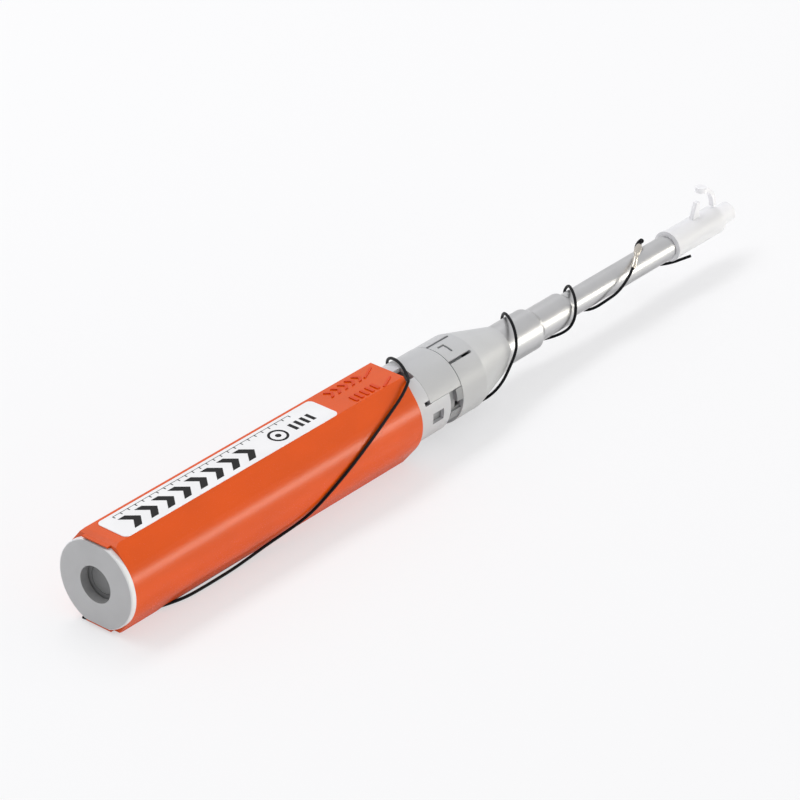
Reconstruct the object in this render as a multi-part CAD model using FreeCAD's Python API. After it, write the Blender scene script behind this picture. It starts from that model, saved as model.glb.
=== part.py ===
"""Fibre connector cleaning pen, lying on the lower flat of its grip.

Everything is drawn about the pen's own axis: x runs from the rear face of the end cap to the tip,
z points out of the upper flat.  `save` then moves each piece so that the origin is the middle of
the lower flat.  The inside of the pen (case, cone, tube, reels) is drawn upright and turned by
UNIT_TURN about the axis, because the pen lies with its nose turned to one of its two stops.
"""
import FreeCAD, Part
import math
import os

V = FreeCAD.Vector
X_AXIS = V(1, 0, 0)
Y_AXIS = V(0, 1, 0)
Z_AXIS = V(0, 0, 1)
ORIGIN = V(0, 0, 0)

# ---------------------------------------------------------------- grip
GRIP_RADIUS = 9.55          # round sides of the sleeve
FLAT_RISE = 0.45            # how far either flat stands out beyond the round sides
FLAT_HALF_WIDTH = 4.35
FLAT_HEIGHT = GRIP_RADIUS + FLAT_RISE
SLEEVE_WALL = 0.7
SLEEVE_BORE = GRIP_RADIUS - SLEEVE_WALL
SLEEVE_LENGTH = 84.0
FLAT_CHAMFER = 1.0
TAB_LENGTH = 0.85           # tab of the sleeve that sits in the cap's notch
TAB_HALF_WIDTH = 3.3
CAP_RIM = 1.2               # how far the end cap stands out behind the sleeve
CAP_RADIUS = GRIP_RADIUS
CAP_EDGE = 0.3
CAP_HOLE = 3.95
CAP_FLOOR = 2.0
CAP_DEPTH = 6.0
CAP_WALL = 0.85
LABEL_LENGTH = 61.2
LABEL_REAR = 3.2            # label's rear edge from the sleeve's rear edge
LABEL_EDGE_GAP = 0.75       # flat left bare beside the label, on the +Y side
LABEL_CORNER = 1.2
LABEL_THICKNESS = 0.12
CORD_CHANNEL_WIDTH = 1.2
CORD_CHANNEL_DEPTH = 0.87

# ---------------------------------------------------------------- fits and play
SLIDE_GAP = 0.3             # between pieces that move past each other
RUNNING_FIT = 0.06          # radial play of a shaft in its hole
SEAT_GAP = 0.05             # between pieces of one body that are pressed or glued
NOTCH_FLOOR = SLEEVE_BORE + SEAT_GAP

# ---------------------------------------------------------------- inner unit
# A place with no comment is a distance from the cap's rear face, chained from the piece before it.
UNIT_TURN = 12.0            # degrees about +X from upright to the stop it lies at
STROKE = 10.0
CASE_RADIUS = SLEEVE_BORE - SLIDE_GAP
CASE_WALL = 0.9
CASE_REAR = 34.0
CASE_REAR_WALL = 1.2
CASE_SETBACK = 4.1          # from the case's front edge to the cone's rear edge
WINDOW_HALF_ANGLE = 13.0    # window behind the cover that shows how much thread is left
WINDOW_SHOWN = 4.3          # how much of the window the sleeve leaves open
WINDOW_LENGTH = 5.1
COVER_HALF_ANGLE = 57.0     # from the top of the unit to the edge of the cover
COVER_LENGTH = 9.9
SEAM_GAP = 0.25             # open seam between the cover and the cone
COVER_REAR = CAP_RIM + SLEEVE_LENGTH + WINDOW_SHOWN
WINDOW_REAR = COVER_REAR - WINDOW_LENGTH
SEAM = COVER_REAR + COVER_LENGTH       # rear edge of the cone
CASE_FRONT = SEAM - CASE_SETBACK
CONE_STRAIGHT = 7.6
CONE_TAPER = 12.5
CONE_RADIUS = CASE_RADIUS - SEAT_GAP
CONE_WALL = 0.85
CONE_MOUTH_WALL = 0.35
CONE_MOUTH_LENGTH = 2.5
CONE_FILLET = 1.0
CONE_SHOULDER = SEAM + CONE_STRAIGHT
CONE_END = CONE_SHOULDER + CONE_TAPER
SLOT_ANGLE = 21.5
SLOT_WIDTH = 0.7
SLOT_LENGTH = 6.8
CATCH_WIDTH = 0.55
CATCH_SETBACK = 2.7
CATCH_WINDOW = 3.4          # length of the case's catch window
RING_RADIUS = CONE_RADIUS - CONE_WALL - SEAT_GAP
RING_WALL = 0.6
RING_WEB = 1.4
RING_OVERLAP = 4.6          # how far the ring reaches into the cone
RING_REAR = COVER_REAR + 2 * SEAT_GAP
RING_FRONT = SEAM + RING_OVERLAP
LUG_LENGTH = 1.9
STEP_LENGTH = 3.1
STEP_RADIUS = RING_RADIUS + 0.5

TUBE_RADII = (4.65, 3.77, 2.8)
TUBE_LENGTHS = (11.1, 11.4, 37.0)      # of the three diameters, counted from the cone's end
TUBE_CHAMFER = 1.55                    # axial length of the two chamfers
TUBE_WALL = 0.75
TUBE_SETBACK = 2.6                     # flange's rear face, in front of the cone's shoulder
TUBE_FLANGE = 6.2
TUBE_FLANGE_THICKNESS = 1.0
TUBE_REAR = CONE_SHOULDER + TUBE_SETBACK
TUBE_ENDS = [CONE_END + sum(TUBE_LENGTHS[:i + 1]) for i in range(3)]
NOSE_RADIUS = 2.35
NOSE_LENGTH = 15.5
NOSE_END = TUBE_ENDS[2] + NOSE_LENGTH

# ---------------------------------------------------------------- reels, rack and gear
TAKE_UP_SETBACK = 14.0      # from the case's rear edge
SUPPLY_SETBACK = 8.0        # behind the cover
TAKE_UP_X = CASE_REAR + TAKE_UP_SETBACK
SUPPLY_X = COVER_REAR - SUPPLY_SETBACK
AXLE_RADIUS = 1.0
AXLE_END_GAP = 0.45         # from the axles' ends to the outside of the case
AXLE_HALF_LENGTH = CASE_RADIUS - AXLE_END_GAP
REEL_RADIUS = 6.5
REEL_HALF_WIDTH = 3.5
REEL_FLANGE = 0.6
REEL_HUB = 2.2
SUPPLY_PACK = 5.4
TAKE_UP_PACK = 3.4
GEAR_MODULE = 0.6
GEAR_TEETH = 12
GEAR_REAR_Y = 3.8
GEAR_WIDTH = 1.0
GEAR_BACKLASH = 0.1
PRESSURE_ANGLE = 20.0
RACK_TEETH = 9
RACK_BASE = 0.8
RATCHET_RADIUS = 4.6
RATCHET_DEPTH = 0.7
RATCHET_TEETH = 12
RATCHET_WIDTH = 1.2
PAWL_AHEAD = 6.6            # pawl pin, in front of the take-up axle
PAWL_X = TAKE_UP_X + PAWL_AHEAD
PAWL_Z = 3.4
PAWL_PIN = 0.6
PAWL_HUB = 1.25

ARM_INNER = 5.1             # inner face of both arms of the slide frame
ARM_THICKNESS = 0.9
ARM_TOP = -1.5
RACK_ARM_BOTTOM = -4.1
CAM_ARM_BOTTOM = -3.0
CAM_ARM_HEAD = 1.3          # top of the arm round the follower
FRAME_PLATE = 1.6
FRAME_HOLE = 3.2

SPRING_RADIUS = 4.1
SPRING_WIRE = 0.4
SPRING_TURNS = 9

# ---------------------------------------------------------------- cam shaft and tip
CAM_SETBACK = 1.9           # cam's rear face, in front of the ring's web
PIN_SETBACK = 2.0           # follower at rest, in front of the cam's rear face
CAM_SPARE = 2.5             # cam left in front of the follower when it is pushed in
CAM_RADIUS = 3.5
CAM_GROOVE_FLOOR = 2.5
CAM_REAR = RING_REAR + CAM_SETBACK
PIN_X = CAM_REAR + PIN_SETBACK
CAM_FRONT = PIN_X + STROKE + CAM_SPARE
PIN_RADIUS = 0.6
CAM_PITCH = 2 * STROKE      # half a turn over the stroke
CAM_GROOVE_WIDTH = 2.3      # measured along the axis
JOURNAL_RADIUS = 2.0
ROD_RADIUS = 1.7
ROD_SETBACK = 7.5           # front of the shaft's rod, behind the nose's end
ROD_FRONT = NOSE_END - ROD_SETBACK
SHAFT_BORE = 0.95
TIP_SEAT_RADIUS = 1.35
TIP_SHANK_LENGTH = 3.0
TIP_SPRING_SPACE = 4.0
TIP_SHANK_REAR = ROD_FRONT - TIP_SHANK_LENGTH
TIP_SEAT_REAR = TIP_SHANK_REAR - TIP_SPRING_SPACE
TIP_BORE = 0.75
TIP_NECK_RADIUS = 1.05
TIP_HEAD_RADIUS = 1.25
TIP_REACH = 1.0             # head's rear edge, in front of the nose's end
TIP_HEAD_LENGTH = 3.5
TIP_HEAD_REAR = NOSE_END + TIP_REACH
TIP_END = TIP_HEAD_REAR + TIP_HEAD_LENGTH
TIP_PRESS = 0.8             # travel of the tip against its spring
TIP_SPRING_RADIUS = 1.12
TIP_SPRING_WIRE = 0.14
TIP_SPRING_TURNS = 4
THREAD_RADIUS = 0.2
THREAD_OFFSET = 0.45
THREAD_ENTRY = 2.6          # from the cam's rear face back to where the thread turns into the shaft
THREAD_LOW = 6.4            # depth of the used thread under the supply reel
THREAD_RIB_STEP = 5.6       # between the two ribs that carry it

# ---------------------------------------------------------------- guide cap
GUIDE_GAP = 0.9             # between the tube's shoulder and the cap's rear face
GUIDE_RADIUS = 3.3
GUIDE_RIM = 3.5
GUIDE_FRONT_LENGTH = 4.7
GUIDE_FRONT_RADIUS = 2.3
GUIDE_FRONT_BORE = 1.65
PORT_RADIUS = 1.3           # takes a 2.5 mm ferrule
PORT_LENGTH = 1.9
PORT_SETBACK = 3.3          # tip's end, behind the port's face
GUIDE_REAR = TUBE_ENDS[2] + GUIDE_GAP
GUIDE_END = TIP_END + PORT_SETBACK
GUIDE_STEP = GUIDE_END - GUIDE_FRONT_LENGTH
STUB_SETBACK = 8.1
STUB_X = GUIDE_STEP - STUB_SETBACK     # middle of the stub's foot
STUB_HEIGHT = 6.9
STUB_HALF_WIDTH = 0.55
LID_SETBACK = 1.3
LID_HINGE_X = GUIDE_STEP - LID_SETBACK
LID_BARREL = 0.5
LID_HALF_WIDTH = 0.6
LID_THICKNESS = 1.0
LID_RADIUS = 1.35           # round end of the lid, over the port when it is shut

# ---------------------------------------------------------------- cord
CORD_RADIUS = 0.32
CRIMP_RADIUS = 0.45
CRIMP_RADIUS_TOP = 0.62
KNOT_RADIUS = 0.75


# ================================================================ helpers
def save(shape, node):
    """Move a piece to the frame of the lower flat and write it."""
    placed = shape.copy()
    middle = CAP_RIM + SLEEVE_LENGTH / 2
    placed.translate(V(-middle, 0, FLAT_HEIGHT))
    placed.exportStep("parts/%s.step" % node)
    print("%-16s %d solid(s) %8.1f mm3" % (node, len(placed.Solids), placed.Volume))


def turned(shape, angle=None):
    """Turn a piece that is drawn upright to where the inner unit lies."""
    copy = shape.copy()
    copy.rotate(ORIGIN, X_AXIS, UNIT_TURN if angle is None else angle)
    return copy


def rod(radius, start, end, y=0.0, z=0.0):
    """A cylinder along the pen."""
    return Part.makeCylinder(radius, end - start, V(start, y, z), X_AXIS)


def cross_pin(radius, y_from, y_to, x, z=0.0):
    """A cylinder across the pen."""
    return Part.makeCylinder(radius, y_to - y_from, V(x, y_from, z), Y_AXIS)


def block(x, y, z):
    """A box from three (low, high) pairs."""
    return Part.makeBox(x[1] - x[0], y[1] - y[0], z[1] - z[0], V(x[0], y[0], z[0]))


def turned_profile(points):
    """A solid of revolution about the pen's axis from (x, radius) points."""
    wire = Part.makePolygon([V(x, 0, r) for x, r in points] + [V(points[0][0], 0, points[0][1])])
    return Part.Face(wire).revolve(ORIGIN, X_AXIS, 360)


def sector(start_angle, end_angle, x_from, x_to, reach=30.0):
    """A wedge between two angles, measured from the top towards -Y."""
    steps = max(1, math.ceil((end_angle - start_angle) / 60.0))
    points = [V(x_from, 0, 0)]
    for i in range(steps + 1):
        a = math.radians(start_angle + (end_angle - start_angle) * i / steps)
        points.append(V(x_from, -reach * math.sin(a), reach * math.cos(a)))
    points.append(points[0])
    return Part.Face(Part.makePolygon(points)).extrude(V(x_to - x_from, 0, 0))


def tube_wall(outer, inner, x_from, x_to):
    return rod(outer, x_from, x_to).cut(rod(inner, x_from - 1, x_to + 1))


def at_angle(shape, angle):
    """Carry a shape drawn at the top of the unit round to an angle towards -Y."""
    copy = shape.copy()
    copy.rotate(ORIGIN, X_AXIS, angle)
    return copy


def plate_across(points, y_from, y_to):
    """A flat piece with its outline in x and z, extruded across the pen."""
    wire = Part.makePolygon([V(x, y_from, z) for x, z in points + [points[0]]])
    return Part.Face(wire).extrude(V(0, y_to - y_from, 0))


# ================================================================ grip
def grip_outline(x):
    """Round sides with two raised flats, joined by tangent lines."""
    corner = math.hypot(FLAT_HALF_WIDTH, FLAT_HEIGHT)
    corner_angle = math.atan2(FLAT_HEIGHT, FLAT_HALF_WIDTH)
    tangent = corner_angle - math.acos(GRIP_RADIUS / corner)
    ty = GRIP_RADIUS * math.cos(tangent)
    tz = GRIP_RADIUS * math.sin(tangent)
    w, h = FLAT_HALF_WIDTH, FLAT_HEIGHT

    def at(y, z):
        return V(x, y, z)

    edges = [
        Part.LineSegment(at(-w, h), at(w, h)).toShape(),
        Part.LineSegment(at(w, h), at(ty, tz)).toShape(),
        Part.Arc(at(ty, tz), at(GRIP_RADIUS, 0), at(ty, -tz)).toShape(),
        Part.LineSegment(at(ty, -tz), at(w, -h)).toShape(),
        Part.LineSegment(at(w, -h), at(-w, -h)).toShape(),
        Part.LineSegment(at(-w, -h), at(-ty, -tz)).toShape(),
        Part.Arc(at(-ty, -tz), at(-GRIP_RADIUS, 0), at(-ty, tz)).toShape(),
        Part.LineSegment(at(-ty, tz), at(-w, h)).toShape(),
    ]
    return Part.Face(Part.Wire(edges))


def outer_sleeve():
    rear = CAP_RIM
    front = CAP_RIM + SLEEVE_LENGTH
    sleeve = grip_outline(rear).extrude(V(SLEEVE_LENGTH, 0, 0))
    for side in (1, -1):
        tab = block((rear - TAB_LENGTH, rear + 1), (-TAB_HALF_WIDTH, TAB_HALF_WIDTH),
                    sorted((side * (NOTCH_FLOOR + SLIDE_GAP), side * FLAT_HEIGHT)))
        sleeve = sleeve.fuse(tab)
    for side in (1, -1):
        slope = FLAT_CHAMFER / 2
        top = side * FLAT_HEIGHT
        over = side * (FLAT_HEIGHT + 1)
        low = side * (FLAT_HEIGHT - slope)
        corner = [(rear - TAB_LENGTH - 1, over), (rear + FLAT_CHAMFER + 1, over),
                  (rear + FLAT_CHAMFER, top), (rear, low), (rear - TAB_LENGTH - 1, low)]
        sleeve = sleeve.cut(plate_across(corner, -GRIP_RADIUS, GRIP_RADIUS))
    sleeve = sleeve.cut(rod(SLEEVE_BORE, rear - TAB_LENGTH - 1, front + 1))
    return sleeve.cut(cord_channel()).removeSplitter()


def cord_channel():
    """Shallow channel under the grip: it leads the cord from the notch behind to one side."""
    half = CORD_CHANNEL_WIDTH / 2
    deep = FLAT_HEIGHT
    top = -FLAT_HEIGHT + CORD_CHANNEL_DEPTH
    channel = None
    for (ax, ay, _), (bx, by, _) in zip(SIDE_RUN[:CHANNEL_POINTS], SIDE_RUN[1:]):
        length = math.hypot(bx - ax, by - ay)
        run = block((0, length), (-half, half), (top - deep, top))
        run.rotate(ORIGIN, Z_AXIS, math.degrees(math.atan2(by - ay, bx - ax)))
        run.translate(V(ax, ay, 0))
        ends = [Part.makeCylinder(half, deep, V(x, y, top - deep)) for x, y in ((ax, ay), (bx, by))]
        run = run.fuse(ends)
        channel = run if channel is None else channel.fuse(run)
    return channel


def end_cap():
    rim = CAP_RIM
    body = SLEEVE_BORE - SEAT_GAP
    inner = body - CAP_WALL
    cap = turned_profile([
        (0, CAP_HOLE), (0, CAP_RADIUS - CAP_EDGE), (CAP_EDGE * 0.3, CAP_RADIUS - CAP_EDGE * 0.3),
        (CAP_EDGE, CAP_RADIUS), (rim, CAP_RADIUS), (rim, body), (CAP_DEPTH, body),
        (CAP_DEPTH, inner), (CAP_FLOOR, inner), (CAP_FLOOR, CAP_HOLE)])
    reach = TAB_HALF_WIDTH + SLIDE_GAP
    for z in ((NOTCH_FLOOR, FLAT_HEIGHT + 1), (-FLAT_HEIGHT - 1, -NOTCH_FLOOR)):
        cap = cap.cut(block((-1, rim), (-reach, reach), z))
    return cap


def body_label():
    rear = CAP_RIM + LABEL_REAR
    label = block((rear, rear + LABEL_LENGTH), (-FLAT_HALF_WIDTH, FLAT_HALF_WIDTH - LABEL_EDGE_GAP),
                  (FLAT_HEIGHT, FLAT_HEIGHT + LABEL_THICKNESS))
    upright = [e for e in label.Edges if abs(e.tangentAt(e.FirstParameter).z) > 0.9]
    return label.makeFillet(LABEL_CORNER, upright)


# ================================================================ slide frame
def frame_arms():
    """Both arms: the one at +Y carries the rack, the one at -Y reaches the cam."""
    rear = CAP_FLOOR + SLIDE_GAP
    outer = ARM_INNER + ARM_THICKNESS
    rack_arm = block((rear, rack_end()), (ARM_INNER, outer), (RACK_ARM_BOTTOM, ARM_TOP))
    cam_arm = block((rear, PIN_X + 1.6), (-outer, -ARM_INNER), (CAM_ARM_BOTTOM, ARM_TOP))
    head = block((PIN_X - 1.6, PIN_X + 1.6), (-outer, -ARM_INNER), (CAM_ARM_BOTTOM, CAM_ARM_HEAD))
    return rack_arm.fuse(cam_arm.fuse(head))


def slide_frame():
    rear = CAP_FLOOR + SLIDE_GAP
    inner = SLEEVE_BORE - SEAT_GAP - CAP_WALL
    plate = rod(inner - SLIDE_GAP, rear, rear + FRAME_PLATE)
    plate = plate.cut(rod(FRAME_HOLE, 0, CAP_DEPTH + 1))
    frame = plate.fuse(frame_arms())
    return frame.cut(cross_pin(PIN_RADIUS, -SLEEVE_BORE, 0, PIN_X)).removeSplitter()


def gear_pitch_radius():
    return GEAR_MODULE * GEAR_TEETH / 2


def rack_pitch():
    return math.pi * GEAR_MODULE


def rack_end():
    return TAKE_UP_X + 2.5 * rack_pitch()


def feed_rack():
    """Rack below the gear: a tooth stands under the gear's centre at rest."""
    pitch = rack_pitch()
    line = -gear_pitch_radius()
    tip = line + 0.7 * GEAR_MODULE
    root = line - 1.25 * GEAR_MODULE
    slope = math.tan(math.radians(PRESSURE_ANGLE))
    half = (pitch / 2 - GEAR_BACKLASH) / 2
    first = TAKE_UP_X + 2 * pitch - (RACK_TEETH - 1) * pitch
    front = first + (RACK_TEETH - 0.5) * pitch
    points = [(first - pitch / 2, root - RACK_BASE), (front, root - RACK_BASE), (front, root)]
    for i in reversed(range(RACK_TEETH)):
        x = first + i * pitch
        low = half + (line - root) * slope
        high = half - (tip - line) * slope
        points += [(x + low, root), (x + high, tip), (x - high, tip), (x - low, root)]
    points.append((first - pitch / 2, root))
    return plate_across(points, GEAR_REAR_Y, ARM_INNER)


def cam_follower():
    """Pin on the arm that reaches into the helical groove."""
    return cross_pin(PIN_RADIUS, -ARM_INNER - ARM_THICKNESS, -CAM_GROOVE_FLOOR - 0.3, PIN_X)


def return_spring():
    start = CAP_FLOOR + SLIDE_GAP + FRAME_PLATE + SPRING_WIRE + SEAT_GAP
    length = CASE_REAR - SPRING_WIRE - SEAT_GAP - start
    helix = Part.makeHelix(length / SPRING_TURNS, length, SPRING_RADIUS)
    section = Part.Wire(Part.Circle(V(SPRING_RADIUS, 0, 0), Y_AXIS, SPRING_WIRE).toShape())
    spring = Part.Wire(helix).makePipeShell([section], True, True)
    spring.rotate(ORIGIN, Y_AXIS, 90)
    spring.translate(V(start, 0, 0))
    return spring


# ================================================================ case, cover and cone
def lower_case():
    inner = CASE_RADIUS - CASE_WALL
    edge = COVER_HALF_ANGLE
    case = tube_wall(CASE_RADIUS, inner, CASE_REAR, CASE_FRONT)
    wall = rod(inner + 0.1, CASE_REAR, CASE_REAR + CASE_REAR_WALL)
    case = case.fuse(wall.cut(rod(SPRING_RADIUS - 1.0, CASE_REAR - 1, CASE_REAR + CASE_REAR_WALL + 1)))
    case = case.cut(sector(-edge, edge, CASE_REAR - 1, WINDOW_REAR))
    case = case.cut(sector(-edge, edge, COVER_REAR - SEAT_GAP, CASE_FRONT + 1))
    window = WINDOW_HALF_ANGLE
    case = case.cut(sector(-window, window, WINDOW_REAR - 1, COVER_REAR + 1))
    low = RACK_ARM_BOTTOM - 2.2
    outer = ARM_INNER + ARM_THICKNESS + SLIDE_GAP
    inside = GEAR_REAR_Y - SLIDE_GAP
    through = (CASE_REAR - 1, CASE_REAR + CASE_REAR_WALL + 1)
    case = case.cut(block(through, (inside, outer), (low, ARM_TOP + SLIDE_GAP)))
    case = case.cut(block(through, (-outer, -ARM_INNER + SLIDE_GAP),
                          (CAM_ARM_BOTTOM - SLIDE_GAP, ARM_TOP + SLIDE_GAP)))
    for x in (TAKE_UP_X, SUPPLY_X):
        case = case.cut(cross_pin(AXLE_RADIUS + 0.02, -CASE_RADIUS - 1, CASE_RADIUS + 1, x))
    case = case.cut(cross_pin(PAWL_PIN + 0.02, -CASE_RADIUS - 1, -ARM_INNER, PAWL_X, PAWL_Z))
    rib_top = -THREAD_LOW - THREAD_RADIUS - 3 * SEAT_GAP
    for x in (SUPPLY_X, SUPPLY_X + THREAD_RIB_STEP):
        rib = block((x - 0.6, x + 0.6), (-1.5, 1.5), (-inner - CASE_WALL / 4, rib_top))
        case = case.fuse(rib)
    for side in (1, -1):
        rear = COVER_REAR + 0.2
        window = block((rear, rear + CATCH_WINDOW), (-1.25, 1.25), (inner - 1, CASE_RADIUS + 1))
        case = case.cut(at_angle(window, side * 81.5))
        corner = block((COVER_REAR - 1.6, COVER_REAR + 0.4), (-0.45, 0.45), (inner - 1, CASE_RADIUS + 1))
        case = case.cut(at_angle(corner, side * (edge - 2.5)))
    return case.removeSplitter()


def upper_cover():
    """Cover over the open front of the case, between the window and the cone."""
    play = 0.4
    wall = tube_wall(CASE_RADIUS, CASE_RADIUS - CASE_WALL, COVER_REAR, SEAM - SEAM_GAP)
    edge = COVER_HALF_ANGLE - play
    return wall.common(sector(-edge, edge, COVER_REAR - 1, SEAM + 1))


def nose_cone():
    bore = RING_RADIUS + SEAT_GAP
    mouth = TUBE_RADII[0] + SEAT_GAP
    end_radius = mouth + CONE_MOUTH_WALL
    cone = turned_profile([
        (SEAM, bore), (SEAM, CONE_RADIUS), (CONE_SHOULDER, CONE_RADIUS), (CONE_END, end_radius),
        (CONE_END, mouth), (CONE_END - CONE_MOUTH_LENGTH, mouth), (CONE_SHOULDER - 0.8, bore)])
    shoulder = [e for e in cone.Edges
                if abs(e.BoundBox.XMin - CONE_SHOULDER) < 0.01
                and e.BoundBox.XLength < 0.01 and e.BoundBox.ZMax > CONE_RADIUS - 0.1]
    cone = cone.makeFillet(CONE_FILLET, shoulder)
    for side in (1, -1):
        slot = block((SEAM - 1, SEAM + SLOT_LENGTH - SLOT_WIDTH / 2),
                     (-SLOT_WIDTH / 2, SLOT_WIDTH / 2), (bore - 1, CONE_RADIUS + 1))
        end = Part.makeCylinder(SLOT_WIDTH / 2, 3, V(SEAM + SLOT_LENGTH - SLOT_WIDTH / 2, 0, bore - 1))
        cone = cone.cut(at_angle(slot.fuse(end), side * SLOT_ANGLE))
    return cone.cut(catch_gap())


def catch_gap():
    """L-shaped gap round the catch on the snap tongue."""
    x = SEAM + CATCH_SETBACK
    inner = RING_RADIUS - 1
    across = tube_wall(CONE_RADIUS + 1, inner, x, x + CATCH_WIDTH)
    across = across.common(sector(-9, 8, x - 1, x + 1))
    along = block((x - 1.4, x + CATCH_WIDTH), (-CATCH_WIDTH / 2, CATCH_WIDTH / 2), (inner, CONE_RADIUS + 1))
    return across.fuse(at_angle(along, -9))


def neck_ring():
    """Grey ring that joins case and cone, with a web that carries the cam shaft's rear end."""
    inner = RING_RADIUS - RING_WALL
    ring = tube_wall(RING_RADIUS, inner, RING_REAR, RING_FRONT)
    web = rod(inner + 0.1, RING_REAR, RING_REAR + RING_WEB)
    through = (RING_REAR - 1, RING_REAR + RING_WEB + 1)
    web = web.cut(rod(JOURNAL_RADIUS + RUNNING_FIT, *through))
    arm = block(through, (-inner, -ARM_INNER + SLIDE_GAP),
                (CAM_ARM_BOTTOM - SLIDE_GAP, CAM_ARM_HEAD + SLIDE_GAP))
    ring = ring.fuse(web.cut(arm))
    for side in (1, -1):
        for low, high, length, top in ((58, 76, LUG_LENGTH, CONE_RADIUS - SEAT_GAP),
                                       (92, 112, STEP_LENGTH, STEP_RADIUS)):
            lug = tube_wall(top, inner + 0.1, SEAM - length, SEAM - SEAT_GAP)
            start, stop = sorted((side * low, side * high))
            ring = ring.fuse(lug.common(sector(start, stop, SEAM - length - 1, SEAM + 1)))
        gap = block((SEAM - 1.8, SEAM - 0.2), (-0.75, 0.75), (inner - 1, RING_RADIUS + 1))
        ring = ring.cut(at_angle(gap, side * 83.5))
    return ring.removeSplitter()


def stepped_tube():
    a, b, c = TUBE_RADII
    end_a, end_b, end_c = TUBE_ENDS
    step = TUBE_CHAMFER
    rod_bore = ROD_RADIUS + RUNNING_FIT
    bore_a, bore_b, bore_c = a - TUBE_WALL, b - TUBE_WALL, c - TUBE_WALL
    flange = TUBE_REAR + TUBE_FLANGE_THICKNESS
    tube = turned_profile([
        (TUBE_REAR, rod_bore), (TUBE_REAR, TUBE_FLANGE), (flange, TUBE_FLANGE), (flange, a),
        (end_a, a), (end_a + step, b), (end_b, b), (end_b + step, c), (end_c, c),
        (end_c, NOSE_RADIUS), (NOSE_END - 0.3, NOSE_RADIUS), (NOSE_END, NOSE_RADIUS - 0.3),
        (NOSE_END, rod_bore), (end_c - 4, rod_bore), (end_c - 4, bore_c), (end_b + step, bore_c),
        (end_b, bore_b), (end_a, bore_b), (end_a - step, bore_a), (TUBE_REAR + 4, bore_a),
        (TUBE_REAR + 4, rod_bore)])
    notch = block((end_c - 0.4, end_c + 0.1), (-0.45, 0.45), (NOSE_RADIUS, c + 1))
    return tube.cut(notch)


# ================================================================ reels
def reel(x):
    hub = cross_pin(REEL_HUB, -REEL_HALF_WIDTH, REEL_HALF_WIDTH, x)
    for y in (-REEL_HALF_WIDTH, REEL_HALF_WIDTH - REEL_FLANGE):
        hub = hub.fuse(cross_pin(REEL_RADIUS, y, y + REEL_FLANGE, x))
    return hub.cut(cross_pin(AXLE_RADIUS + RUNNING_FIT, -CASE_RADIUS, CASE_RADIUS, x)).removeSplitter()


def ratchet_wheel():
    """Saw-toothed wheel pressed against the take-up reel's flange."""
    points = []
    for i in range(RATCHET_TEETH):
        for share, radius in ((0.0, RATCHET_RADIUS), (0.12, RATCHET_RADIUS - RATCHET_DEPTH)):
            a = 2 * math.pi * (i + share) / RATCHET_TEETH
            points.append((TAKE_UP_X + radius * math.cos(a), radius * math.sin(a)))
    flange = -REEL_HALF_WIDTH - SEAT_GAP
    wheel = plate_across(points, -REEL_HALF_WIDTH - RATCHET_WIDTH, flange)
    return wheel.cut(cross_pin(AXLE_RADIUS + RUNNING_FIT, -CASE_RADIUS, 0, TAKE_UP_X))


def thread_pack(x, radius):
    """Wound thread, one solid between the reel's flanges."""
    half = REEL_HALF_WIDTH - REEL_FLANGE
    return cross_pin(radius, -half, half, x).cut(cross_pin(REEL_HUB, -half - 1, half + 1, x))


def involute(base, radius):
    """Polar angle by which an involute has turned when it reaches a radius."""
    grow = math.sqrt(max(0.0, (radius / base) ** 2 - 1))
    return grow - math.atan(grow)


def drive_gear():
    """Involute gear with a gap straight below its centre, over the rack's tooth."""
    pitch = gear_pitch_radius()
    base = pitch * math.cos(math.radians(PRESSURE_ANGLE))
    tip = pitch + 0.85 * GEAR_MODULE
    root = pitch - 1.2 * GEAR_MODULE
    half = (math.pi * GEAR_MODULE / 2 - GEAR_BACKLASH) / 2 / pitch + involute(base, pitch)
    radii = [base + (tip - base) * i / 3 for i in range(4)]
    points = []
    for tooth in range(GEAR_TEETH):
        centre = -math.pi / 2 + (tooth + 0.5) * 2 * math.pi / GEAR_TEETH
        rising = [(root, centre - half)] + [(r, centre - half + involute(base, r)) for r in radii]
        falling = [(r, 2 * centre - a) for r, a in reversed(rising)]
        points += [(TAKE_UP_X + r * math.cos(a), r * math.sin(a)) for r, a in rising + falling]
    gear = plate_across(points, GEAR_REAR_Y, GEAR_REAR_Y + GEAR_WIDTH)
    return gear.cut(cross_pin(AXLE_RADIUS + RUNNING_FIT, 0, CASE_RADIUS, TAKE_UP_X))


def reel_axle(x):
    return cross_pin(AXLE_RADIUS, -AXLE_HALF_LENGTH, AXLE_HALF_LENGTH, x)


def pawl_pin():
    depth = math.sqrt(CASE_RADIUS ** 2 - PAWL_Z ** 2) - 0.2
    return cross_pin(PAWL_PIN, -depth, -REEL_HALF_WIDTH - SLIDE_GAP, PAWL_X, PAWL_Z)


def ratchet_pawl():
    """Lever whose nose stands just over the ratchet's teeth."""
    y_from = -REEL_HALF_WIDTH - RATCHET_WIDTH + 0.1
    y_to = -REEL_HALF_WIDTH - SLIDE_GAP
    nose = RATCHET_RADIUS + 0.15
    arm = plate_across([(PAWL_X, PAWL_Z + PAWL_HUB), (TAKE_UP_X + 1.9, nose + 1.2), (TAKE_UP_X + 0.9, nose),
                        (TAKE_UP_X + 2.3, nose - 0.3), (PAWL_X - 0.9, PAWL_Z - 0.4)], y_from, y_to)
    hub = cross_pin(PAWL_HUB, y_from, y_to, PAWL_X, PAWL_Z)
    hole = cross_pin(PAWL_PIN + RUNNING_FIT, y_from - 1, y_to + 1, PAWL_X, PAWL_Z)
    return arm.fuse(hub).cut(hole).removeSplitter()


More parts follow.
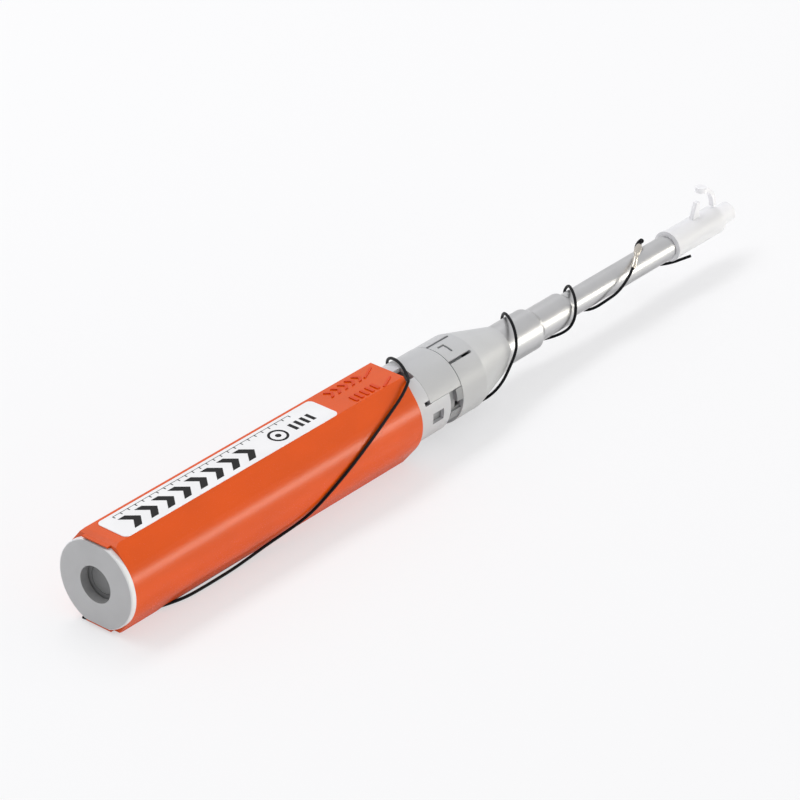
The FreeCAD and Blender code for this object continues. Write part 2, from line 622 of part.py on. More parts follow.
# ================================================================ cam shaft, tip and thread
def cam_groove():
    """Helical groove: half a turn over the stroke, with a little spare at each end."""
    spare = 1.0
    height = STROKE + 2 * spare
    depth = CAM_RADIUS + 0.5
    half = CAM_GROOVE_WIDTH / 2
    helix = Part.makeHelix(CAM_PITCH, height, CAM_RADIUS)
    section = Part.makePolygon([V(CAM_GROOVE_FLOOR, 0, -half), V(depth, 0, -half),
                                V(depth, 0, half), V(CAM_GROOVE_FLOOR, 0, half),
                                V(CAM_GROOVE_FLOOR, 0, -half)])
    groove = Part.Wire(helix).makePipeShell([section], True, True)
    # The helix climbs along +Z from +X; turn it so that it climbs along +X and meets the pin at -Y.
    groove.rotate(ORIGIN, Z_AXIS, -360.0 * spare / CAM_PITCH)
    groove.rotate(ORIGIN, Y_AXIS, 90)
    groove.rotate(ORIGIN, X_AXIS, -90)
    groove.translate(V(PIN_X - spare, 0, 0))
    return groove


def cam_shaft():
    journal = RING_REAR - 0.3
    shaft = turned_profile([
        (journal, SHAFT_BORE), (journal, JOURNAL_RADIUS), (CAM_REAR, JOURNAL_RADIUS), (CAM_REAR, CAM_RADIUS),
        (CAM_FRONT, CAM_RADIUS), (CAM_FRONT + 1.0, ROD_RADIUS), (ROD_FRONT, ROD_RADIUS),
        (ROD_FRONT, TIP_SEAT_RADIUS), (TIP_SEAT_REAR, TIP_SEAT_RADIUS), (TIP_SEAT_REAR, SHAFT_BORE)])
    return shaft.cut(cam_groove())


def cleaning_tip():
    """Hollow tip: the thread comes up its bore, leaves by two slots and crosses its end."""
    shank = TIP_SEAT_RADIUS - RUNNING_FIT
    shank_front = TIP_SHANK_REAR + TIP_SHANK_LENGTH
    bore = TIP_BORE
    tip = turned_profile([
        (TIP_SHANK_REAR, bore), (TIP_SHANK_REAR, shank), (shank_front, shank),
        (shank_front, TIP_NECK_RADIUS), (TIP_HEAD_REAR, TIP_NECK_RADIUS), (TIP_HEAD_REAR + 0.3, TIP_HEAD_RADIUS),
        (TIP_END - 0.2, TIP_HEAD_RADIUS), (TIP_END, TIP_HEAD_RADIUS - 0.2), (TIP_END, 0),
        (TIP_HEAD_REAR - 0.5, 0), (TIP_HEAD_REAR - 0.5, bore)])
    width = THREAD_RADIUS + 0.1
    for side in (1, -1):
        z = sorted((side * (TIP_HEAD_RADIUS - 0.5), side * 2))
        tip = tip.cut(block((TIP_HEAD_REAR - 0.6, TIP_END + 1), (-width, width), z))
        z = sorted((side * 0.2, side * 2))
        tip = tip.cut(block((TIP_HEAD_REAR - 2.0, TIP_HEAD_REAR - 0.5), (-width, width), z))
    return tip.cut(block((TIP_END - 0.25, TIP_END + 1), (-width, width), (-2, 2)))


def tip_spring():
    """Fine spring between the shaft's seat and the tip's shank, its wire drawn with six sides."""
    radius = TIP_SPRING_RADIUS
    wire = TIP_SPRING_WIRE
    start = TIP_SEAT_REAR + wire + SEAT_GAP
    length = TIP_SPRING_SPACE - 2 * (wire + SEAT_GAP)
    helix = Part.makeHelix(length / TIP_SPRING_TURNS, length, radius)
    angles = [math.radians(60 * i) for i in range(7)]
    section = Part.makePolygon([V(radius + wire * math.cos(a), 0, wire * math.sin(a)) for a in angles])
    spring = Part.Wire(helix).makePipeShell([section], True, True)
    spring.rotate(ORIGIN, Y_AXIS, 90)
    spring.translate(V(start, 0, 0))
    return spring


def thread_along(points, radius):
    """A thread through points in the plane y = 0: straight runs joined by balls."""
    places = [V(x, 0, z) for x, z in points]
    thread = None
    for a, b in zip(places, places[1:]):
        run = Part.makeCylinder(radius, (b - a).Length, a, b - a)
        thread = run if thread is None else thread.fuse(run)
    for p in places[1:-1]:
        thread = thread.fuse(Part.makeSphere(radius, p))
    return thread


def thread_run():
    """Clean thread to the tip and used thread back, joined nowhere: two threads."""
    stop = TIP_SHANK_REAR - TIP_PRESS - SLIDE_GAP
    entry = CAM_REAR - THREAD_ENTRY
    leave = math.radians(55)
    off = SUPPLY_PACK + THREAD_RADIUS + SLIDE_GAP
    clean = thread_along([(SUPPLY_X + off * math.cos(leave), off * math.sin(leave)),
                          (entry, THREAD_OFFSET), (stop, THREAD_OFFSET)], THREAD_RADIUS)
    wound = TAKE_UP_PACK + 3 * THREAD_RADIUS
    used = thread_along([(stop, -THREAD_OFFSET), (entry, -THREAD_OFFSET),
                         (SUPPLY_X + THREAD_RIB_STEP, -THREAD_LOW), (SUPPLY_X, -THREAD_LOW),
                         (TAKE_UP_X + REEL_HUB + THREAD_RADIUS, -wound)], THREAD_RADIUS)
    return Part.makeCompound([clean, used])


def tip_thread():
    """Loop over the tip's end, moving and turning with the tip."""
    start = TIP_SHANK_REAR + 0.2
    out = TIP_HEAD_RADIUS - 0.2
    face = TIP_END
    points = [(start, THREAD_OFFSET), (TIP_HEAD_REAR - 1.4, THREAD_OFFSET), (TIP_HEAD_REAR - 0.4, out + 0.05),
              (face, out), (face, -out), (TIP_HEAD_REAR - 0.4, -out - 0.05),
              (TIP_HEAD_REAR - 1.4, -THREAD_OFFSET), (start, -THREAD_OFFSET)]
    return thread_along(points, THREAD_RADIUS)


# ================================================================ guide cap
def guide_cap():
    bore = NOSE_RADIUS + SEAT_GAP
    port = GUIDE_END - PORT_LENGTH
    inside = NOSE_END + 1.0
    cap = turned_profile([
        (GUIDE_REAR, bore), (GUIDE_REAR, GUIDE_RIM), (GUIDE_REAR + 0.9, GUIDE_RIM),
        (GUIDE_REAR + 1.2, GUIDE_RADIUS), (GUIDE_STEP - 0.6, GUIDE_RADIUS), (GUIDE_STEP, GUIDE_RADIUS - 0.6),
        (GUIDE_STEP, GUIDE_FRONT_RADIUS), (GUIDE_END - 0.3, GUIDE_FRONT_RADIUS),
        (GUIDE_END, GUIDE_FRONT_RADIUS - 0.3), (GUIDE_END, PORT_RADIUS), (port, PORT_RADIUS),
        (port, GUIDE_FRONT_BORE), (inside, GUIDE_FRONT_BORE), (inside, bore)])
    foot = bore + 0.3
    stub = plate_across([(STUB_X - 1.3, foot), (STUB_X + 0.3, STUB_HEIGHT), (STUB_X + 1.3, STUB_HEIGHT),
                         (STUB_X + 1.2, foot)], -STUB_HALF_WIDTH, STUB_HALF_WIDTH)
    return cap.fuse(stub).removeSplitter()


def lid_hinge():
    return V(LID_HINGE_X, 0, GUIDE_RADIUS + SLIDE_GAP + LID_BARREL)


def flip_lid():
    """Lid at the end of a bent strap that stands open over the front of the cap."""
    foot = lid_hinge()
    bow = foot + V(-1.15, 0, 3.35)
    end = foot + V(-4.6, 0, 5.4)
    outward = [V(0.95, 0, 0.1), V(0.83, 0, 0.56), V(0.1, 0, 0.99)]
    half = LID_THICKNESS / 2
    outer = [p + n * half for p, n in zip((foot, bow, end), outward)]
    inner = [p - n * half for p, n in zip((foot, bow, end), outward)]
    strap = Part.Face(Part.Wire([
        Part.Arc(*outer).toShape(), Part.LineSegment(outer[2], inner[2]).toShape(),
        Part.Arc(*reversed(inner)).toShape(), Part.LineSegment(inner[0], outer[0]).toShape()]))
    strap = strap.extrude(V(0, 2 * LID_HALF_WIDTH, 0))
    strap.translate(V(0, -LID_HALF_WIDTH, 0))
    barrel = cross_pin(LID_BARREL, -LID_HALF_WIDTH, LID_HALF_WIDTH, foot.x, foot.z)
    normal = outward[2]
    disc = Part.makeCylinder(LID_RADIUS, LID_THICKNESS * 1.1, end - normal * (half * 1.1), normal)
    return strap.fuse([barrel, disc]).removeSplitter()


# ================================================================ cord
# The route starts in the notch behind, runs under and up the side of the grip and winds forward
# round the neck and the tube.  SIDE_RUN holds points; CHANNEL_POINTS of them lie in the channel.
# STATIONS holds (angle, x, radius) of the wraps, the angle from -Y over the top to the far side.
SIDE_RUN = [
    (0.75, 4.5, -9.54), (1.1, 2.3, -9.54), (3.0, 0.3, -9.54), (6.2, -1.5, -9.54), (10.0, -3.1, -9.54),
    (14.2, -4.6, -9.56), (18.6, -5.7, -9.6), (23.2, -5.85, -9.62), (27.8, -5.85, -9.62),
    (32.3, -5.8, -9.6), (36.8, -5.75, -9.3), (41.2, -6.1, -8.5), (45.3, -6.9, -7.5),
    (49.2, -8.0, -6.15), (52.6, -9.15, -4.2), (56.9, -9.92, -1.45), (62.1, -10.0, 0.98),
    (67.9, -9.45, 3.35), (72.6, -8.75, 5.0), (77.4, -7.75, 6.45), (81.4, -7.0, 7.75), (84.9, -6.0, 9.45)]
CHANNEL_POINTS = 6
STATIONS = [
    (66, 87.1, 9.8), (90, 89.6, 9.46), (114, 91.4, 9.5), (162, 95.7, 9.4), (234, 104.5, 9.5),
    (258, 107.6, 9.4), (282, 110.1, 8.8), (354, 116.6, 6.75), (378, 119.7, 6.4), (450, 124.3, 5.93), (498, 127.6, 5.4),
    (570, 130.4, 5.33), (594, 132.0, 5.07), (642, 137.0, 4.5), (666, 139.1, 4.48), (690, 140.2, 4.61),
    (738, 141.8, 4.65), (834, 146.8, 3.7), (858, 147.5, 3.55), (954, 148.6, 3.55), (1026, 151.8, 3.45),
    (1050, 154.0, 3.5), (1074, 156.8, 4.19), (1122, 163.4, 4.49), (1146, 166.2, 4.35), (1194, 172.6, 4.25),
    (1218, 173.7, 4.2), (1266, 173.9, 4.2), (1314, 176.0, 4.39), (1338, 178.4, 4.37), (1362, 181.0, 4.15),
    (1386, 182.6, 4.05), (1410, 183.3, 4.6)]
WRAP_STEP = 24
CRIMP_ANGLES = (1122, 1170)
KNOT_ANGLE = 1194


def cord_route():
    """The points of SIDE_RUN, then one every WRAP_STEP degrees of the wraps."""
    points = [V(*p) for p in SIDE_RUN]
    for (a0, x0, r0), (a1, x1, r1) in zip(STATIONS, STATIONS[1:]):
        count = round((a1 - a0) / WRAP_STEP)
        for i in range(count):
            t = i / count
            points.append(wrap_point(a0 + (a1 - a0) * t, x0 + (x1 - x0) * t, r0 + (r1 - r0) * t))
    points.append(wrap_point(*STATIONS[-1]))
    return points


def wrap_point(angle, x, radius):
    a = math.radians(angle)
    return V(x, -radius * math.cos(a), radius * math.sin(a))


def wrap_index(angle):
    """Place of a wrap's point in the route."""
    return len(SIDE_RUN) + round((angle - STATIONS[0][0]) / WRAP_STEP)


def bend(before, corner, after):
    """Tangent arc at a corner: its start, middle, end and radius."""
    u = before - corner
    w = after - corner
    trim = 0.45 * min(u.Length, w.Length)
    u.normalize()
    w.normalize()
    turn = math.pi - math.acos(max(-1.0, min(1.0, u.dot(w))))
    radius = trim / math.tan(turn / 2)
    inward = u + w
    inward.normalize()
    depth = radius * (1 / math.cos(turn / 2) - 1)
    return corner + u * trim, corner + inward * depth, corner + w * trim, radius


def cord_path():
    """Edges of the route and, for each corner, the place of its arc among them."""
    points = cord_route()
    edges = []
    radii = []
    at = points[0]
    for before, corner, after in zip(points, points[1:], points[2:]):
        start, middle, end, radius = bend(before, corner, after)
        edges.append(Part.LineSegment(at, start).toShape())
        edges.append(Part.Arc(start, middle, end).toShape())
        radii.append(radius)
        at = end
    edges.append(Part.LineSegment(at, points[-1]).toShape())
    return edges, radii


def swept(edges, radius):
    """A round section carried along joined edges."""
    first = edges[0]
    section = Part.Circle(first.valueAt(first.FirstParameter), first.tangentAt(first.FirstParameter), radius)
    return Part.Wire(edges).makePipeShell([Part.Wire(section.toShape())], True, False, 1)


def lanyard_cord():
    edges, radii = cord_path()
    cord = swept(edges, CORD_RADIUS)
    length = sum(e.Length for e in edges)
    print("cord %.1f mm long, bends %.2f to %.1f mm" % (length, min(radii), max(radii)))
    print("cord volume over section times length: %.4f" % (cord.Volume / (math.pi * CORD_RADIUS ** 2 * length)))
    return cord


def cord_crimp():
    """Metal sleeve pressed round a stretch of the cord, opened out at its upper half."""
    edges, _ = cord_path()
    low, high = (2 * wrap_index(a) - 1 for a in CRIMP_ANGLES)
    middle = (low + high) // 2
    bore = swept(edges[low:high], CORD_RADIUS + SEAT_GAP)
    crimp = swept(edges[low:middle + 1], CRIMP_RADIUS)
    crimp = crimp.fuse(swept(edges[middle:high], CRIMP_RADIUS_TOP))
    return crimp.cut(bore).removeSplitter()


def cord_knot():
    """Overhand knot that stops the crimp."""
    knot = Part.makeSphere(KNOT_RADIUS, cord_route()[wrap_index(KNOT_ANGLE)])
    edges, _ = cord_path()
    place = 2 * wrap_index(KNOT_ANGLE) - 1
    return knot.cut(swept(edges[place - 2:place + 3], CORD_RADIUS + SEAT_GAP))


# ================================================================ build
os.makedirs("parts", exist_ok=True)

save(outer_sleeve(), "outer_sleeve")
save(end_cap(), "end_cap")
save(body_label(), "body_label")
save(lanyard_cord(), "lanyard_cord")
save(cord_crimp(), "cord_crimp")
save(cord_knot(), "cord_knot")
save(turned(slide_frame()), "slide_frame")
save(turned(feed_rack()), "feed_rack")
save(turned(cam_follower()), "cam_follower")
save(return_spring(), "return_spring")
save(turned(lower_case()), "lower_case")
save(turned(upper_cover()), "upper_cover")
save(turned(nose_cone()), "nose_cone")
save(turned(neck_ring()), "neck_ring")
save(stepped_tube(), "stepped_tube")
save(turned(reel(TAKE_UP_X)), "take_up_reel")
save(turned(ratchet_wheel()), "ratchet_wheel")
save(turned(thread_pack(TAKE_UP_X, TAKE_UP_PACK)), "take_up_thread")
save(turned(reel_axle(TAKE_UP_X)), "take_up_axle")
save(turned(reel(SUPPLY_X)), "supply_reel")
save(turned(thread_pack(SUPPLY_X, SUPPLY_PACK)), "supply_thread")
save(turned(reel_axle(SUPPLY_X)), "supply_axle")
save(turned(drive_gear()), "drive_gear")
save(turned(ratchet_pawl()), "ratchet_pawl")
save(turned(pawl_pin()), "pawl_pin")
save(turned(cam_shaft()), "cam_shaft")
save(turned(thread_run()), "thread_run")
save(turned(cleaning_tip()), "cleaning_tip")
save(turned(tip_thread()), "tip_thread")
save(tip_spring(), "tip_spring")
save(guide_cap(), "guide_cap")
save(flip_lid(), "flip_lid")
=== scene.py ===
# %% [markdown]
# # A fibre connector cleaning pen
# The pen lies on the lower flat of its orange grip, with its cord wound round the nose.  The
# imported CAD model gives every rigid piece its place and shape.  This script gives the pieces
# their finishes, draws the soft cord, the print and the small relief, and sets camera and light.

import math

import bmesh
import bpy
from mathutils import Matrix, Vector


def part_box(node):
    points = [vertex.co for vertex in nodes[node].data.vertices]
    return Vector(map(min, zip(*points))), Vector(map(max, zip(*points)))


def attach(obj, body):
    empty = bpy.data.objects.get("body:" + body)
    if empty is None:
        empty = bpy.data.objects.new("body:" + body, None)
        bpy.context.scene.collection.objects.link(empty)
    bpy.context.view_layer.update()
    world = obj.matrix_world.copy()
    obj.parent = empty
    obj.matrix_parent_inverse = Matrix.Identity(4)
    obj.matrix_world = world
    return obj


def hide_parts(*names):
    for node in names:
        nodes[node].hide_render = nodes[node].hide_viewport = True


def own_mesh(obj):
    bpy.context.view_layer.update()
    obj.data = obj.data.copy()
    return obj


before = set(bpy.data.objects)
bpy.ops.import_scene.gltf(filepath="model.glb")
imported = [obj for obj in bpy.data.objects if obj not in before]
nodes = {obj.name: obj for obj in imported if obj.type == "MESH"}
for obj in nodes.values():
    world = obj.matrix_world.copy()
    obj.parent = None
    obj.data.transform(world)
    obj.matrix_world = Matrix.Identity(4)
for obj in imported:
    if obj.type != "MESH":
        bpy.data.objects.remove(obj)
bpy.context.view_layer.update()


def show(name, data):
    """A new object in the scene, for a mesh, a curve, a lamp or a camera."""
    made = bpy.data.objects.new(name, data)
    bpy.context.scene.collection.objects.link(made)
    return made


# %% [markdown]
# ## One place for the pen's own coordinates
# The pen is designed about its axis, with x counted from the rear face of the end cap, in
# millimetres.  The frame's origin is the middle of the lower flat, so one helper turns a place on
# the pen into metres in the frame.  Both offsets are read from the frame's boxes.

# %% Pen coordinates
MM = 0.001
sleeve_low, sleeve_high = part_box("outer_sleeve")
cap_low, cap_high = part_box("end_cap")
PEN_REAR = cap_low.x
AXIS_HEIGHT = (sleeve_low.z + sleeve_high.z) / 2


def on_pen(x, y, z):
    """A point given in pen millimetres, in the frame's metres."""
    return Vector((PEN_REAR + x * MM, y * MM, AXIS_HEIGHT + z * MM))


print("rear face at x = %.4f, axis at z = %.4f" % (PEN_REAR, AXIS_HEIGHT))

# %% [markdown]
# ## Camera
# A long lens from behind the cap's left shoulder keeps the pen's edges nearly parallel, as in a
# product picture.  The rotation is built from the viewing direction and the level right-hand
# direction, so the horizon stays level.

# %% Camera
VIEW_AZIMUTH = math.radians(40.22)
VIEW_DROP = math.radians(29.93)
EYE = Vector((-0.4936, -0.4564, 0.4180))
LENS = 180


def look_along(azimuth, drop):
    """Rotation of a camera that looks along an azimuth, tilted down by an angle."""
    forward = Vector((math.cos(drop) * math.cos(azimuth), math.cos(drop) * math.sin(azimuth),
                      -math.sin(drop)))
    right = forward.cross(Vector((0, 0, 1))).normalized()
    up = right.cross(forward)
    return Matrix((right, up, -forward)).transposed().to_4x4()


camera_data = bpy.data.cameras.new("camera")
camera_data.lens = LENS
camera_data.sensor_width = 36
camera_data.clip_start = 0.01
camera_data.clip_end = 20
camera = show("camera", camera_data)
camera.matrix_world = Matrix.Translation(EYE) @ look_along(VIEW_AZIMUTH, VIEW_DROP)
bpy.context.scene.camera = camera
bpy.context.scene.view_settings.view_transform = "Standard"

# %% [markdown]
# ## The lanyard cord
# The cord is a thin braided line, limp and about 0.64 mm thick.  It leaves the notch behind, runs
# under and up the side of the grip and is wound forward round the neck and the tube.  A NURBS
# curve with few control points bends as a real cord does, so its route is a list of points: a
# run given point by point, then turns given as (angle, x, radius) about the pen's axis.

# %% Cord route
CORD_DIAMETER = 0.64 * MM
SIDE_RUN = [
    (0.75, 4.5, -9.54), (1.1, 2.3, -9.54), (3.0, 0.3, -9.54), (6.2, -1.5, -9.54), (10.0, -3.1, -9.54),
    (14.2, -4.6, -9.56), (18.6, -5.7, -9.6), (23.2, -5.85, -9.62), (27.8, -5.85, -9.62),
    (32.3, -5.8, -9.6), (36.8, -5.75, -9.3), (41.2, -6.1, -8.5), (45.3, -6.9, -7.5),
    (49.2, -8.0, -6.15), (52.6, -9.15, -4.2), (56.9, -9.92, -1.45), (62.1, -10.0, 0.98),
    (67.9, -9.45, 3.35), (72.6, -8.75, 5.0), (77.4, -7.75, 6.45), (81.4, -7.0, 7.75), (84.9, -6.0, 9.45)]
STATIONS = [
    (66, 87.1, 9.8), (90, 89.6, 9.46), (114, 91.4, 9.5), (162, 95.7, 9.4), (234, 104.5, 9.5),
    (258, 107.6, 9.4), (282, 110.1, 8.8), (354, 116.6, 6.75), (378, 119.7, 6.4), (450, 124.3, 5.93),
    (498, 127.6, 5.4), (570, 130.4, 5.33), (594, 132.0, 5.07), (642, 137.0, 4.5), (666, 139.1, 4.48),
    (690, 140.2, 4.61), (738, 141.8, 4.65), (834, 146.8, 3.7), (858, 147.5, 3.55), (954, 148.6, 3.55),
    (1026, 151.8, 3.45), (1050, 154.0, 3.5), (1074, 156.8, 4.19), (1122, 163.4, 4.49),
    (1146, 166.2, 4.35), (1194, 172.6, 4.25), (1218, 173.7, 4.2), (1266, 173.9, 4.2),
    (1314, 176.0, 4.39), (1338, 178.4, 4.37), (1362, 181.0, 4.15), (1386, 182.6, 4.05), (1410, 183.3, 4.6)]
WRAP_STEP = 24


def wrap_point(angle, x, radius):
    """A point of the winding; the angle is counted from -Y over the top to the far side."""
    a = math.radians(angle)
    return on_pen(x, -radius * math.cos(a), radius * math.sin(a))


def cord_route():
    points = [on_pen(*place) for place in SIDE_RUN]
    for (a0, x0, r0), (a1, x1, r1) in zip(STATIONS, STATIONS[1:]):
        count = round((a1 - a0) / WRAP_STEP)
        for i in range(count):
            t = i / count
            points.append(wrap_point(a0 + (a1 - a0) * t, x0 + (x1 - x0) * t, r0 + (r1 - r0) * t))
    points.append(wrap_point(*STATIONS[-1]))
    return points


def nurbs_line(name, points, radius):
    """A round cord along control points."""
    curve = bpy.data.curves.new(name, "CURVE")
    curve.dimensions = "3D"
    curve.bevel_depth = radius
    curve.bevel_resolution = 4
    curve.resolution_u = 8
    curve.use_fill_caps = True
    spline = curve.splines.new("NURBS")
    spline.points.add(len(points) - 1)
    for knot, place in zip(spline.points, points):
        knot.co = (*place, 1.0)
    spline.order_u = 3
    spline.use_endpoint_u = True
    return show(name, curve)


def as_mesh(line):
    """The curve's surface as a plain mesh, or its bare line where it has no thickness."""
    seen = line.evaluated_get(bpy.context.evaluated_depsgraph_get())
    mesh = bpy.data.meshes.new_from_object(seen)
    bpy.data.objects.remove(line)
    return mesh


def close_solid(mesh):
    """Merge doubles, close open rims and point the faces outwards."""
    shape = bmesh.new()
    shape.from_mesh(mesh)
    bmesh.ops.remove_doubles(shape, verts=shape.verts, dist=1e-7)
    rim = [edge for edge in shape.edges if edge.is_boundary]
    if rim:
        bmesh.ops.holes_fill(shape, edges=rim, sides=0)
    bmesh.ops.recalc_face_normals(shape, faces=shape.faces)
    shape.to_mesh(mesh)
    shape.free()


route = cord_route()
cord_line = [tuple(v.co) for v in as_mesh(nurbs_line("cord_line", route, 0)).vertices]
cord = show("cord", as_mesh(nurbs_line("cord_tube", route, CORD_DIAMETER / 2)))
close_solid(cord.data)
for face in cord.data.polygons:
    face.use_smooth = len(face.vertices) == 4
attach(cord, "grip")
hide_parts("lanyard_cord")
print("cord drawn through %d points, %d faces" % (len(route), len(cord.data.polygons)))

# %% [markdown]
# ## Floor, world and lamps
# A pale table and an even studio sky.  The sky is darker on the viewer's side, so that the round
# tube keeps a shaded band.  Behind the pen the camera sees plain near-white: the whole of the sky
# and more than half of the table's tone come from Light Path and not from more light.  Clear pieces
# see the same near-white through them, and gloss sees a share of it, so metal and resin show the
# backdrop they stand in.

# %% Floor and sky
FLOOR_TONE = (0.90, 0.90, 0.91, 1)
FLOOR_CLEARANCE = 0.02 * MM
BACKDROP = (0.947, 0.947, 0.96, 1)
FLOOR_SHARES = {"Is Camera Ray": 0.60, "Is Transmission Ray": 0.60, "Is Glossy Ray": 0.08}
SKY_LEAN = (0.35, 0.55, 0.75)
SKY_BAND = (-0.5, 0.75)       # where the darker side ends and the brighter side begins
SKY_STRENGTH = (0.18, 0.80)
SKY_SHARES = {"Is Camera Ray": 1.0, "Is Transmission Ray": 1.0, "Is Glossy Ray": 0.25}


def backdrop_share(tree, shares):
    """A socket that says how much of the plain backdrop a ray sees, by the kind of ray."""
    path = tree.nodes.new("ShaderNodeLightPath")
    total = None
    for kind, share in shares.items():
        part = tree.nodes.new("ShaderNodeMath")
        part.operation = "MULTIPLY"
        part.inputs[1].default_value = share
        tree.links.new(path.outputs[kind], part.inputs[0])
        if total is None:
            total = part.outputs[0]
            continue
        most = tree.nodes.new("ShaderNodeMath")
        most.operation = "MAXIMUM"
        tree.links.new(total, most.inputs[0])
        tree.links.new(part.outputs[0], most.inputs[1])
        total = most.outputs[0]
    return total


def mix_backdrop(tree, shares, lit, plain, surface):
    """Joins a lit shader with a plain near-white one, in the share each kind of ray sees."""
    plain.inputs["Color"].default_value = BACKDROP
    both = tree.nodes.new("ShaderNodeMixShader")
    tree.links.new(backdrop_share(tree, shares), both.inputs[0])
    tree.links.new(lit.outputs[0], both.inputs[1])
    tree.links.new(plain.outputs[0], both.inputs[2])
    tree.links.new(both.outputs[0], surface)


def floor_material():
    """A matt table top that keeps the pen's shadow."""
    material = bpy.data.materials.new("pale_table")
    material.use_nodes = True
    tree = material.node_tree
    shader = tree.nodes["Principled BSDF"]
    shader.inputs["Base Color"].default_value = FLOOR_TONE
    shader.inputs["Roughness"].default_value = 0.85
    shader.inputs["Specular IOR Level"].default_value = 0.2
    plain = tree.nodes.new("ShaderNodeEmission")
    surface = tree.nodes["Material Output"].inputs["Surface"]
    mix_backdrop(tree, FLOOR_SHARES, shader, plain, surface)
    return material


def plain_floor(half=6.0):
    """A square far larger than the picture, just under the pen."""
    mesh = bpy.data.meshes.new("floor")
    mesh.from_pydata([(-half, -half, 0), (half, -half, 0), (half, half, 0), (-half, half, 0)], [],
                     [(0, 1, 2, 3)])
    mesh.materials.append(floor_material())
    floor = show("floor", mesh)
    floor.location.z = -FLOOR_CLEARANCE


def studio_sky():
    """A sky that brightens towards the lean direction."""
    world = bpy.data.worlds.new("studio")
    bpy.context.scene.world = world
    world.use_nodes = True
    tree = world.node_tree
    tree.nodes.clear()
    where = tree.nodes.new("ShaderNodeTexCoord")
    side = tree.nodes.new("ShaderNodeVectorMath")
    side.operation = "DOT_PRODUCT"
    side.inputs[1].default_value = SKY_LEAN
    tree.links.new(where.outputs["Generated"], side.inputs[0])
    ramp = tree.nodes.new("ShaderNodeMapRange")
    ramp.interpolation_type = "SMOOTHSTEP"
    ramp.inputs["From Min"].default_value, ramp.inputs["From Max"].default_value = SKY_BAND
    ramp.inputs["To Min"].default_value, ramp.inputs["To Max"].default_value = SKY_STRENGTH
    tree.links.new(side.outputs["Value"], ramp.inputs["Value"])
    studio = tree.nodes.new("ShaderNodeBackground")
    studio.inputs["Color"].default_value = (1, 1, 1, 1)
    tree.links.new(ramp.outputs[0], studio.inputs["Strength"])
    seen = tree.nodes.new("ShaderNodeBackground")
    out = tree.nodes.new("ShaderNodeOutputWorld")
    mix_backdrop(tree, SKY_SHARES, studio, seen, out.inputs["Surface"])


MIDDLE = 100                  # middle of the pen, from the rear face of its cap


def soft_lamp(name, place, power, width, height, tint=(1, 1, 1)):
    """A softbox that faces the middle of the pen."""
    lamp = bpy.data.lights.new(name, "AREA")
    lamp.color = tint
    lamp.energy = power
    lamp.shape = "RECTANGLE"
    lamp.size = width
    lamp.size_y = height
    made = show(name, lamp)
    aim = on_pen(MIDDLE, 0, 0)
    made.location = place
    made.rotation_euler = (aim - made.location).to_track_quat("-Z", "Y").to_euler()
    made.visible_camera = False


plain_floor()
studio_sky()
soft_lamp("key", Vector((0.04, 0.42, 0.88)), 4.4, 1.1, 0.26)
soft_lamp("side_strip", Vector((0.68, -0.80, 0.08)), 9.4, 2.0, 0.24, (1.0, 0.97, 0.86))
soft_lamp("fill", Vector((-0.55, -0.75, 0.30)), 0.9, 0.9, 0.9)

# %% [markdown]
# ## Writing finishes as expressions
# Node trees are easier to read as sums and products.  `Wire` holds one output socket and turns
# Python's operators into Math nodes, and `Finish` holds one material and makes any other node.
# Places come from Object coordinates, which are the frame's metres, so a pattern keeps its real
# size on every piece.

# %% Shader helpers
class Wire:
    """One output socket of a material's tree, with arithmetic."""

    def __init__(self, finish, socket):
        self.finish = finish
        self.socket = socket

    def math(self, operation, *others):
        inputs = {i: value for i, value in enumerate((self, *others))}
        return self.finish.node("ShaderNodeMath", {"operation": operation}, inputs)

    def swapped(self, operation, other):
        return self.finish.node("ShaderNodeMath", {"operation": operation}, {0: other, 1: self})

    def __add__(self, other):
        return self.math("ADD", other)

    def __radd__(self, other):
        return self.math("ADD", other)

    def __sub__(self, other):
        return self.math("SUBTRACT", other)

    def __rsub__(self, other):
        return self.swapped("SUBTRACT", other)

    def __mul__(self, other):
        return self.math("MULTIPLY", other)

    def __rmul__(self, other):
        return self.math("MULTIPLY", other)

    def over(self, low, high):
        """0 below low, 1 above high, smooth between."""
        settings = {"interpolation_type": "SMOOTHSTEP"}
        inputs = {"Value": self, "From Min": low, "From Max": high}
        return self.finish.node("ShaderNodeMapRange", settings, inputs)


